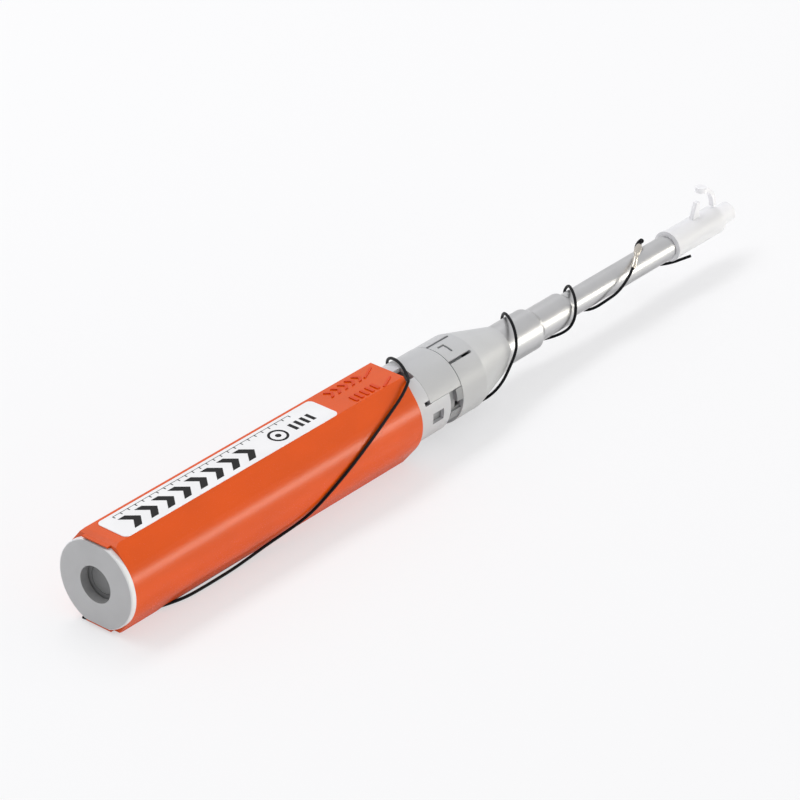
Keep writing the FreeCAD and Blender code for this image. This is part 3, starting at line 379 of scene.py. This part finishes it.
class Finish:
    """A procedural material on the Principled shader."""

    def __init__(self, name, colour, roughness, metallic=0.0, **uniform):
        self.material = bpy.data.materials.new(name)
        self.material.use_nodes = True
        self.tree = self.material.node_tree
        self.shader = self.tree.nodes["Principled BSDF"]
        self.colour = (*colour, 1)
        self.roughness = roughness
        self.put("Base Color", self.colour)
        self.put("Roughness", roughness)
        self.put("Metallic", metallic)
        for socket, value in uniform.items():
            self.put(socket.replace("_", " "), value)
        self.place = self.node("ShaderNodeTexCoord", output="Object")

    def put(self, socket, value):
        self.connect(self.shader.inputs[socket], value)

    def connect(self, socket, value):
        if isinstance(value, Wire):
            self.tree.links.new(value.socket, socket)
        else:
            socket.default_value = value

    def node(self, kind, settings=None, inputs=None, output=0):
        made = self.tree.nodes.new(kind)
        for key, value in (settings or {}).items():
            setattr(made, key, value)
        for key, value in (inputs or {}).items():
            self.connect(made.inputs[key], value)
        return Wire(self, made.outputs[output])

    def axis(self, letter):
        return self.node("ShaderNodeSeparateXYZ", None, {0: self.place}, letter)

    def noise(self, grain_mm, detail=2.0, stretch=(1, 1, 1)):
        """Noise from 0 to 1 whose spots are about as wide as the grain."""
        scale = tuple(s / (grain_mm * MM) for s in stretch)
        spread = self.node("ShaderNodeVectorMath", {"operation": "MULTIPLY"}, {0: self.place, 1: scale})
        return self.node("ShaderNodeTexNoise", None, {"Vector": spread, "Scale": 1.0, "Detail": detail})

    def blend(self, mask, first, second):
        """Colour that goes from first to second with the mask."""
        settings = {"data_type": "RGBA"}
        inputs = {"Factor": mask, 6: first, 7: second}
        return self.node("ShaderNodeMix", settings, inputs, 2)

    def relief(self, height, depth_mm):
        inputs = {"Height": height, "Distance": depth_mm * MM, "Strength": 1.0}
        self.put("Normal", self.node("ShaderNodeBump", None, inputs))


def shade(colour, factor):
    return (*(min(1.0, c * factor) for c in colour[:3]), 1)


# %% [markdown]
# ## Moulded plastics
# Every plastic piece is injection moulded: a fine even spark texture in the gloss, a faint cloudy
# change of tone where the melt flowed, and patches rubbed smoother by hands.  One function writes
# that, and each plastic gives it its own colour, grain and gloss.

# %% Moulded plastic
def moulded(name, colour, roughness, grain_mm=0.12, depth_mm=0.004, cloud=0.06, **uniform):
    finish = Finish(name, colour, roughness, **uniform)
    flow = finish.noise(9.0, 3.0, (0.5, 1, 1))
    spark = finish.noise(grain_mm, 2.0)
    worn = finish.noise(2.6, 4.0).over(0.55, 0.72)
    darker, lighter = shade(finish.colour, 1 - cloud), shade(finish.colour, 1 + cloud)
    tone = finish.blend(flow.over(0.3, 0.7), darker, lighter)
    finish.put("Base Color", tone)
    finish.put("Roughness", spark * 0.08 + (roughness - 0.04) - worn * 0.02)
    finish.relief(spark, depth_mm)
    return finish


ORANGE = (0.70, 0.080, 0.0)
orange = moulded("orange_shell_finish", ORANGE, 0.26, 0.16, 0.002, 0.04, Specular_IOR_Level=0.37)
DEEP_ORANGE = (0.64, 0.05, 0.0)
orange_deep = moulded("raised_mark_finish", DEEP_ORANGE, 0.32, 0.16, 0.003, 0.04, Specular_IOR_Level=0.25)
cap_grey = moulded("grey_cap_finish", (0.50, 0.503, 0.513), 0.40, 0.2, 0.005, 0.04)
case_white = moulded("pale_case_finish", (0.54, 0.545, 0.57), 0.38, 0.2, 0.004, 0.03)
cover_grey = moulded("grey_cover_finish", (0.48, 0.485, 0.50), 0.40, 0.14, 0.005, 0.04)
ring_grey = moulded("grey_ring_finish", (0.27, 0.275, 0.285), 0.45, 0.2, 0.005, 0.05)
frame_dark = moulded("dark_frame_finish", (0.24, 0.242, 0.245), 0.5)
acetal = moulded("acetal_finish", (0.80, 0.79, 0.75), 0.35)
reel_brown = moulded("brown_reel_finish", (0.10, 0.065, 0.075), 0.40)
CAP_HOLE = 3.95 * MM
CAP_RADIUS = (cap_high.y - cap_low.y) / 2
# Painted shade for the wall of the cap's hole.
PAINTED_HOLE_SHADE = (0.33, 0.33, 0.333, 1)
# Painted highlight for the cap's outer edge.
PAINTED_RIM_HIGHLIGHT = (0.83, 0.84, 0.86, 1)


def paint_cap_shade_and_highlight(finish):
    """Painted shade: the wall of the cap's hole is coloured a matt dark grey.  Painted highlight: a light
    band is coloured along the cap's outer edge.
    """
    across = finish.axis("Y")
    up = finish.axis("Z") - AXIS_HEIGHT
    radius = (across * across + up * up).math("SQRT")
    outside = radius.over(CAP_HOLE + 0.01 * MM, CAP_HOLE + 0.05 * MM)
    face = finish.shader.inputs["Base Color"].links[0].from_socket
    # Painted shade: inside the hole the cap is coloured dark grey.
    tone = finish.blend(outside, PAINTED_HOLE_SHADE, Wire(finish, face))
    # Painted highlight: a light band is coloured along the cap's outer edge.
    rim_highlight = radius.over(CAP_RADIUS - 0.34 * MM, CAP_RADIUS - 0.16 * MM)
    finish.put("Base Color", finish.blend(rim_highlight * 0.8, tone, PAINTED_RIM_HIGHLIGHT))


paint_cap_shade_and_highlight(cap_grey)
print("plastics written")

# %% [markdown]
# ## Metal, thread, clear cap and cord
# The tube is drawn metal with a satin surface: grain stretched along the pen changes only gloss
# and relief.  The guide cap is clear resin with a slight frost, and the thread and the cord show
# their twist as fine slanting ribs.

# %% Other finishes
def drawn_metal(name, colour, roughness, grain_mm=0.05):
    finish = Finish(name, colour, roughness, 1.0)
    lines = finish.noise(grain_mm, 2.0, (0.05, 1, 1))
    smudge = finish.noise(6.0, 3.0).over(0.45, 0.75)
    finish.put("Roughness", lines * 0.12 + (roughness - 0.06) + smudge * 0.05)
    finish.put("Base Color", finish.blend(smudge, finish.colour, shade(finish.colour, 0.93)))
    finish.relief(lines, 0.003)
    return finish


def twisted(name, colour, roughness, rib_mm, depth_mm, **uniform):
    """Fine slanting ribs, as on a braid or a twisted thread, with painted shade in their grooves and a
    painted highlight on their crests.
    """
    finish = Finish(name, colour, roughness, **uniform)
    along = finish.axis("X")
    across = finish.axis("Y") + finish.axis("Z")
    ribs = ((along + across * 0.7) * (2 * math.pi / (rib_mm * MM))).math("SINE") * 0.5 + 0.5
    fuzz = finish.noise(rib_mm * 0.6, 3.0)
    # The colour follows the ribs: painted shade in the grooves and a painted highlight on the crests; the
    # fuzz adds random tone.
    finish.put("Base Color", finish.blend(ribs * 0.6 + fuzz * 0.4, shade(finish.colour, 0.6),
                                          shade(finish.colour, 1.5)))
    finish.relief(ribs + fuzz * 0.6, depth_mm)
    return finish


tube_metal = drawn_metal("satin_tube_finish", (0.56, 0.56, 0.57), 0.34)
pin_steel = drawn_metal("steel_pin_finish", (0.55, 0.55, 0.57), 0.28)
spring_wire = drawn_metal("spring_steel_finish", (0.42, 0.42, 0.44), 0.30)
crimp_metal = drawn_metal("crimp_finish", (0.55, 0.51, 0.46), 0.24)
thread_white = twisted("thread_finish", (0.80, 0.79, 0.77), 0.8, 0.25, 0.02)
CORD_TONE = (0.0045, 0.005, 0.007)
cord_black = twisted("cord_finish", CORD_TONE, 0.5, 0.32, 0.03, Specular_IOR_Level=0.10)


def clear_resin():
    """Hazy resin: partly see-through by its alpha, with a little true transmission."""
    haze = (0.90, 0.90, 0.93)
    finish = Finish("clear_guide_finish", haze, 0.4, IOR=1.4, Transmission_Weight=0.08, Alpha=0.72)
    flow = finish.noise(6.0, 1.0)
    finish.put("Roughness", flow * 0.04 + 0.38)
    finish.put("Base Color", finish.blend(flow, finish.colour, (0.93, 0.93, 0.955, 1)))
    return finish


guide_clear = clear_resin()

# %% [markdown]
# ## The label
# A paper label is white with a faint tooth.  Its print is only plain marks: chevrons that point
# to the tip, a ruled line with ticks, bars, and a ring with a dot for a ferrule's face.

# %% Label paper
PAPER_SHADE = (0.80, 0.80, 0.82, 1)
PAPER_WHITE = (0.84, 0.84, 0.86, 1)


def paper():
    finish = Finish("label_finish", (0.84, 0.84, 0.85), 0.42)
    tooth = finish.noise(0.09, 3.0)
    cloud = finish.noise(7.0, 2.0)
    finish.put("Base Color", finish.blend(cloud.over(0.35, 0.7), PAPER_SHADE, PAPER_WHITE))
    finish.put("Roughness", tooth * 0.12 + 0.36)
    finish.relief(tooth, 0.003)
    return finish


label_paper = paper()
ink = moulded("label_ink", (0.006, 0.006, 0.007), 0.5, 0.08, 0.002, 0.1, Specular_IOR_Level=0.15)

# %% Give every node its finish
FINISHES = {
    "outer_sleeve": orange, "end_cap": cap_grey, "body_label": label_paper, "lanyard_cord": cord_black,
    "cord_crimp": crimp_metal, "cord_knot": cord_black, "slide_frame": frame_dark, "feed_rack": frame_dark,
    "cam_follower": pin_steel, "return_spring": spring_wire, "lower_case": case_white,
    "upper_cover": cover_grey, "nose_cone": cover_grey, "neck_ring": ring_grey, "stepped_tube": tube_metal,
    "take_up_reel": reel_brown, "ratchet_wheel": reel_brown, "take_up_thread": thread_white,
    "take_up_axle": pin_steel, "supply_reel": reel_brown, "supply_thread": thread_white,
    "supply_axle": pin_steel, "drive_gear": acetal, "ratchet_pawl": acetal, "pawl_pin": pin_steel,
    "cam_shaft": acetal, "thread_run": thread_white, "cleaning_tip": acetal, "tip_thread": thread_white,
    "tip_spring": spring_wire, "guide_cap": guide_clear, "flip_lid": guide_clear,
}


def finish_node(name, finish):
    mesh = nodes[name].data
    mesh.materials.clear()
    mesh.materials.append(finish.material)


for name, finish in FINISHES.items():
    finish_node(name, finish)
cord.data.materials.clear()
cord.data.materials.append(cord_black.material)
print("finished", len(FINISHES), "of", len(nodes), "nodes")

# %% [markdown]
# ## Crimp and knot on the cord
# A small metal sleeve is pressed on the cord: a round barrel below, flattened to a leaf above,
# with the seam of the rolled sheet down one side.  It is swept along the cord's own line from a
# section that changes on the way.  Above it the cord has an overhand knot, drawn as the trefoil
# that such a knot is.

# %% Crimp and knot
CRIMP_FROM = 1118
CRIMP_TO = 1176
KNOT_ANGLE = 1188
KNOT_SIZE = 0.19 * MM
KNOT_STRAND = 0.25 * MM       # half thickness of the cord where it is pulled tight
CURVE_SHRINK = math.cos(math.radians(WRAP_STEP / 2))    # the curve runs inside its control points


def wound_at(angle):
    """The cord's line at an angle of the winding."""
    for (a0, x0, r0), (a1, x1, r1) in zip(STATIONS, STATIONS[1:]):
        if a0 <= angle <= a1:
            t = (angle - a0) / (a1 - a0)
            return wrap_point(angle, x0 + (x1 - x0) * t, (r0 + (r1 - r0) * t) * CURVE_SHRINK)
    raise ValueError(angle)


CRIMP_STOPS = [(0.0, 0.46, 0.44), (0.06, 0.52, 0.46), (0.40, 0.54, 0.46), (0.48, 0.46, 0.36),
               (0.60, 0.72, 0.34), (0.80, 0.80, 0.33), (0.95, 0.66, 0.34), (1.0, 0.50, 0.34)]


def crimp_section(t):
    """Half width and half thickness of the sleeve in millimetres, from 0 below to 1 above."""
    for (t0, w0, h0), (t1, w1, h1) in zip(CRIMP_STOPS, CRIMP_STOPS[1:]):
        if t <= t1:
            k = (t - t0) / (t1 - t0)
            k = k * k * (3 - 2 * k)
            return w0 + (w1 - w0) * k, h0 + (h1 - h0) * k
    return CRIMP_STOPS[-1][1:]


SEAM_ANGLE = 0.30 * math.pi
SEAM_HALF_ANGLE = 0.12
SEAM_DEPTH = 0.10


def crimp_mesh(rings=40, sides=32):
    """The sleeve, ring after ring along the cord's line."""
    shape = bmesh.new()
    grid = []
    for i in range(rings + 1):
        t = i / rings
        angle = CRIMP_FROM + (CRIMP_TO - CRIMP_FROM) * t
        here = wound_at(angle)
        along = (wound_at(angle + 1) - wound_at(angle - 1)).normalized()
        out = Vector((0, here.y, here.z - AXIS_HEIGHT)).normalized()
        out = (out - along * out.dot(along)).normalized()
        side = along.cross(out)
        width, thick = crimp_section(t)
        ring = []
        for k in range(sides):
            a = 2 * math.pi * k / sides
            groove = SEAM_DEPTH if abs(a - SEAM_ANGLE) < SEAM_HALF_ANGLE else 0.0
            across = side * ((width - groove) * MM * math.cos(a))
            outwards = out * ((thick - groove) * MM * math.sin(a))
            ring.append(shape.verts.new(here + across + outwards))
        grid.append(ring)
    for low, high in zip(grid, grid[1:]):
        for k in range(sides):
            n = (k + 1) % sides
            shape.faces.new((low[k], low[n], high[n], high[k]))
    shape.faces.new(list(reversed(grid[0])))
    shape.faces.new(grid[-1])
    bmesh.ops.recalc_face_normals(shape, faces=shape.faces)
    mesh = bpy.data.meshes.new("crimp")
    shape.to_mesh(mesh)
    shape.free()
    for face in mesh.polygons:
        face.use_smooth = len(face.vertices) == 4
    return mesh


crimp = show("crimp", crimp_mesh())
crimp.data.materials.append(crimp_metal.material)
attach(crimp, "grip")
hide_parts("cord_crimp")


def knot_points(centre, size, count=36):
    """A trefoil about a point, a little longer along the pen."""
    points = []
    for i in range(count):
        t = 2 * math.pi * i / count
        across = math.sin(t) + 2 * math.sin(2 * t)
        high = math.cos(t) - 2 * math.cos(2 * t)
        deep = -math.sin(3 * t)
        points.append(centre + Vector((across * 1.15, deep * 1.1, high)) * size)
    return points


def cord_knot():
    """The overhand knot as one closed mesh."""
    line = nurbs_line("knot_line", knot_points(wound_at(KNOT_ANGLE), KNOT_SIZE), KNOT_STRAND)
    line.data.use_fill_caps = False
    line.data.splines[0].use_endpoint_u = False
    line.data.splines[0].use_cyclic_u = True
    line.data.resolution_u = 4
    mesh = as_mesh(line)
    close_solid(mesh)
    for face in mesh.polygons:
        face.use_smooth = True
    made = show("knot", mesh)
    mesh.materials.clear()
    mesh.materials.append(cord_black.material)
    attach(made, "grip")
    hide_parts("cord_knot")
    return made


knot = cord_knot()
print("crimp %d faces, knot %d faces" % (len(crimp.data.polygons), len(knot.data.polygons)))

# %% [markdown]
# ## Print and relief, repeated by Geometry Nodes
# Chevrons and bars repeat at an even step, so one small tree copies a flat shape along a line and
# gives the copies their thickness.  The same tree serves the ink on the label and the raised
# marks moulded on the flat.

# %% A row of marks
def row_tree():
    """Thickens the flat shape it is given, copies it along x, and sets its material."""
    tree = bpy.data.node_groups.new("row_of_marks", "GeometryNodeTree")
    ports = tree.interface
    ports.new_socket("Geometry", in_out="INPUT", socket_type="NodeSocketGeometry")
    ports.new_socket("Count", in_out="INPUT", socket_type="NodeSocketInt")
    ports.new_socket("Step", in_out="INPUT", socket_type="NodeSocketFloat")
    ports.new_socket("Rise", in_out="INPUT", socket_type="NodeSocketFloat")
    ports.new_socket("Material", in_out="INPUT", socket_type="NodeSocketMaterial")
    ports.new_socket("Geometry", in_out="OUTPUT", socket_type="NodeSocketGeometry")
    new = tree.nodes.new
    link = tree.links.new
    given = new("NodeGroupInput")
    thick = new("GeometryNodeExtrudeMesh")
    up = new("ShaderNodeCombineXYZ")
    line = new("GeometryNodeMeshLine")
    step = new("ShaderNodeCombineXYZ")
    copies = new("GeometryNodeInstanceOnPoints")
    plain = new("GeometryNodeRealizeInstances")
    paint = new("GeometryNodeSetMaterial")
    out = new("NodeGroupOutput")
    thick.inputs["Individual"].default_value = False
    thick.inputs["Offset Scale"].default_value = 1.0
    link(given.outputs["Rise"], up.inputs["Z"])
    link(given.outputs["Geometry"], thick.inputs["Mesh"])
    link(up.outputs[0], thick.inputs["Offset"])
    link(given.outputs["Step"], step.inputs["X"])
    link(given.outputs["Count"], line.inputs["Count"])
    link(step.outputs[0], line.inputs["Offset"])
    link(line.outputs[0], copies.inputs["Points"])
    link(thick.outputs[0], copies.inputs["Instance"])
    link(copies.outputs[0], plain.inputs[0])
    link(plain.outputs[0], paint.inputs[0])
    link(given.outputs["Material"], paint.inputs["Material"])
    link(paint.outputs[0], out.inputs[0])
    return tree


def from_tree(name, mesh, tree, values):
    """A new object whose mesh is what the tree makes of the given one, as a plain closed mesh."""
    made = show(name, mesh)
    sockets = [item for item in tree.interface.items_tree if item.in_out == "INPUT"]
    modifier = made.modifiers.new("tree", "NODES")
    modifier.node_group = tree
    for socket in sockets:
        if socket.name in values:
            modifier[socket.identifier] = values[socket.name]
    seen = made.evaluated_get(bpy.context.evaluated_depsgraph_get())
    result = bpy.data.meshes.new_from_object(seen)
    made.modifiers.clear()
    made.data = result
    close_solid(result)
    return made


ROW = row_tree()


def outline_mesh(name, loops):
    """A flat mesh from closed outlines in metres."""
    shape = bmesh.new()
    for loop in loops:
        shape.faces.new([shape.verts.new((x, y, 0)) for x, y in loop])
    mesh = bpy.data.meshes.new(name)
    shape.to_mesh(mesh)
    shape.free()
    return mesh


def mark_row(name, loops, count, step_mm, rise_mm, place, finish):
    """One row of marks, standing on the grip's flat or its label."""
    scaled = [[(x * MM, y * MM) for x, y in loop] for loop in loops]
    values = {"Count": count, "Step": step_mm * MM, "Rise": rise_mm * MM, "Material": finish.material}
    made = from_tree(name, outline_mesh(name, scaled), ROW, values)
    made.data.transform(Matrix.Translation(place))
    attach(made, "grip")
    return made


def chevron(width, half, thickness):
    """Outline of an arrow head that points to +X."""
    return [[(0, half), (thickness, half), (width, 0), (thickness, -half), (0, -half),
             (width - thickness, 0)]]


def ring_of_faces(radius, inner, sides=40):
    """Quads of a flat ring."""
    faces = []
    for i in range(sides):
        a, b = (2 * math.pi * k / sides for k in (i, i + 1))
        corners = ((inner, a), (radius, a), (radius, b), (inner, b))
        faces.append([(r * math.cos(t), r * math.sin(t)) for r, t in corners])
    return faces


def disc(radius, sides=32):
    angles = (2 * math.pi * i / sides for i in range(sides))
    return [[(radius * math.cos(a), radius * math.sin(a)) for a in angles]]


def bar(length, half):
    return [[(0, -half), (length, -half), (length, half), (0, half)]]


LABEL_TOP = (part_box("body_label")[1].z - AXIS_HEIGHT) / MM
FLAT_TOP = (sleeve_high.z - AXIS_HEIGHT) / MM
INK_THICKNESS = 0.02
MARK_RISE = 0.22


def printed(name, loops, count, step_mm, x, y):
    """Ink on the label."""
    place = on_pen(x, y, LABEL_TOP)
    return mark_row(name, loops, count, step_mm, INK_THICKNESS, place, ink)


def raised(name, loops, count, step_mm, x, y):
    """Marks moulded on the flat."""
    place = on_pen(x, y, FLAT_TOP)
    return mark_row(name, loops, count, step_mm, MARK_RISE, place, orange_deep)


# %% [markdown]
# The label carries a row of chevrons, a ruled line with ticks, the ring and a row of bars.  On the
# flat in front of it stand two slanting pointers with a row of raised marks each, for the two stops
# of the nose.

# %% Label print and raised marks
printed("label_chevrons", chevron(4.0, 2.3, 2.0), 8, 4.6, 8.0, -0.9)
printed("label_rule", bar(50.0, 0.06), 1, 1.0, 8.0, 2.75)
printed("label_ticks", bar(0.25, 0.35), 26, 2.0, 8.0, 2.4)
printed("label_ring", ring_of_faces(2.2, 1.65), 1, 1.0, 51.2, -0.9)
printed("label_dot", disc(0.65), 1, 1.0, 51.2, -0.9)
printed("label_bars", bar(0.9, 1.3), 4, 1.7, 55.2, -0.9)


def pointer(x0, y0, x1, y1, half=0.22):
    """A slanting line as one outline."""
    along = Vector((x1 - x0, y1 - y0)).normalized() * half
    side = Vector((-along.y, along.x))
    return [[(x0 + side.x, y0 + side.y), (x0 - side.x, y0 - side.y), (x1 - side.x, y1 - side.y),
             (x1 + side.x, y1 + side.y)]]


raised("clean_pointer", pointer(0, 0, 4.0, 1.8), 1, 1.0, 79.6, 1.15)
raised("clean_marks", chevron(1.8, 1.15, 0.8), 5, 2.1, 69.3, 2.1)
raised("lock_pointer", pointer(0, 0, 3.9, 1.7), 1, 1.0, 79.4, -4.15)
raised("lock_marks", bar(0.75, 1.1), 5, 1.6, 71.5, -2.7)
print("marks drawn on label and flat")

# %% [markdown]
# ## The blank behind the cap's hole
# Through the round hole in the cap one looks at a flat dark floor.  It is a thin moulded blank that
# closes the hole in the sliding frame's plate, so it rides with that frame.  It is drawn from its
# radius, thickness and chamfer.

# %% Blank disc
BLANK_RADIUS = 3.19
BLANK_THICKNESS = 0.8
BLANK_CHAMFER = 0.15


def blank_disc(sides=48):
    """The disc, from its chamfered rear face to its front."""
    shape = bmesh.new()
    rear = (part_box("slide_frame")[0].x - PEN_REAR) / MM
    profile = [(rear, BLANK_RADIUS - BLANK_CHAMFER), (rear + BLANK_CHAMFER, BLANK_RADIUS),
               (rear + BLANK_THICKNESS, BLANK_RADIUS)]
    rings = []
    for x, radius in profile:
        angles = (2 * math.pi * k / sides for k in range(sides))
        circle = (on_pen(x, radius * math.cos(a), radius * math.sin(a)) for a in angles)
        rings.append([shape.verts.new(place) for place in circle])
    for low, high in zip(rings, rings[1:]):
        for k in range(sides):
            n = (k + 1) % sides
            shape.faces.new((low[k], low[n], high[n], high[k]))
    shape.faces.new(rings[0])
    shape.faces.new(rings[-1])
    bmesh.ops.recalc_face_normals(shape, faces=shape.faces)
    mesh = bpy.data.meshes.new("plate_blank")
    shape.to_mesh(mesh)
    shape.free()
    return mesh


blank = show("plate_blank", blank_disc())
blank.data.materials.append(frame_dark.material)
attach(blank, "slide_frame")
print("blank disc of %d faces" % len(blank.data.polygons))

# %% [markdown]
# ## Two coil springs
# Two coil springs work inside: one pushes the nose out again, the other keeps the cleaning tip
# pressed forward.  A coil follows a rule, so Geometry Nodes draw it from a spiral and a round
# section.  Each spring stands on one body.

# %% Coil springs
def coil_tree():
    """A round wire wound along z, from turns, height, coil radius and wire radius."""
    tree = bpy.data.node_groups.new("coil_spring", "GeometryNodeTree")
    ports = tree.interface
    ports.new_socket("Geometry", in_out="INPUT", socket_type="NodeSocketGeometry")
    for name in ("Turns", "Height", "Radius", "Wire"):
        ports.new_socket(name, in_out="INPUT", socket_type="NodeSocketFloat")
    ports.new_socket("Material", in_out="INPUT", socket_type="NodeSocketMaterial")
    ports.new_socket("Geometry", in_out="OUTPUT", socket_type="NodeSocketGeometry")
    new = tree.nodes.new
    link = tree.links.new
    given = new("NodeGroupInput")
    coil = new("GeometryNodeCurveSpiral")
    section = new("GeometryNodeCurvePrimitiveCircle")
    solid = new("GeometryNodeCurveToMesh")
    plain = new("GeometryNodeRealizeInstances")
    paint = new("GeometryNodeSetMaterial")
    out = new("NodeGroupOutput")
    coil.inputs["Resolution"].default_value = 28
    section.inputs["Resolution"].default_value = 12
    solid.inputs["Fill Caps"].default_value = True
    link(given.outputs["Turns"], coil.inputs["Rotations"])
    link(given.outputs["Height"], coil.inputs["Height"])
    link(given.outputs["Radius"], coil.inputs["Start Radius"])
    link(given.outputs["Radius"], coil.inputs["End Radius"])
    link(given.outputs["Wire"], section.inputs["Radius"])
    link(coil.outputs[0], solid.inputs["Curve"])
    link(section.outputs[0], solid.inputs["Profile Curve"])
    link(solid.outputs[0], plain.inputs[0])
    link(plain.outputs[0], paint.inputs[0])
    link(given.outputs["Material"], paint.inputs["Material"])
    link(paint.outputs[0], out.inputs[0])
    return tree


COIL = coil_tree()


def coil_spring(name, node, turns, wire_mm, body):
    """A spring in the place of its node, fixed behind and pressed from the front."""
    low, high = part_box(node)
    wire = wire_mm * MM
    height = high.x - low.x - 2 * wire
    values = {"Turns": float(turns), "Height": height, "Radius": (high.y - low.y) / 2 - wire, "Wire": wire,
              "Material": spring_wire.material}
    made = from_tree(name, bpy.data.meshes.new(name), COIL, values)
    rear = on_pen(0, 0, 0)
    rear.x = low.x + wire
    made.data.transform(Matrix.Translation(rear) @ Matrix.Rotation(math.radians(90), 4, "Y"))
    for face in made.data.polygons:
        face.use_smooth = len(face.vertices) == 4
    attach(made, body)
    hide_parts(node)
    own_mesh(made)


coil_spring("push_spring", "return_spring", 9, 0.4, "slide_frame")
coil_spring("press_spring", "tip_spring", 4, 0.14, "cam_shaft")
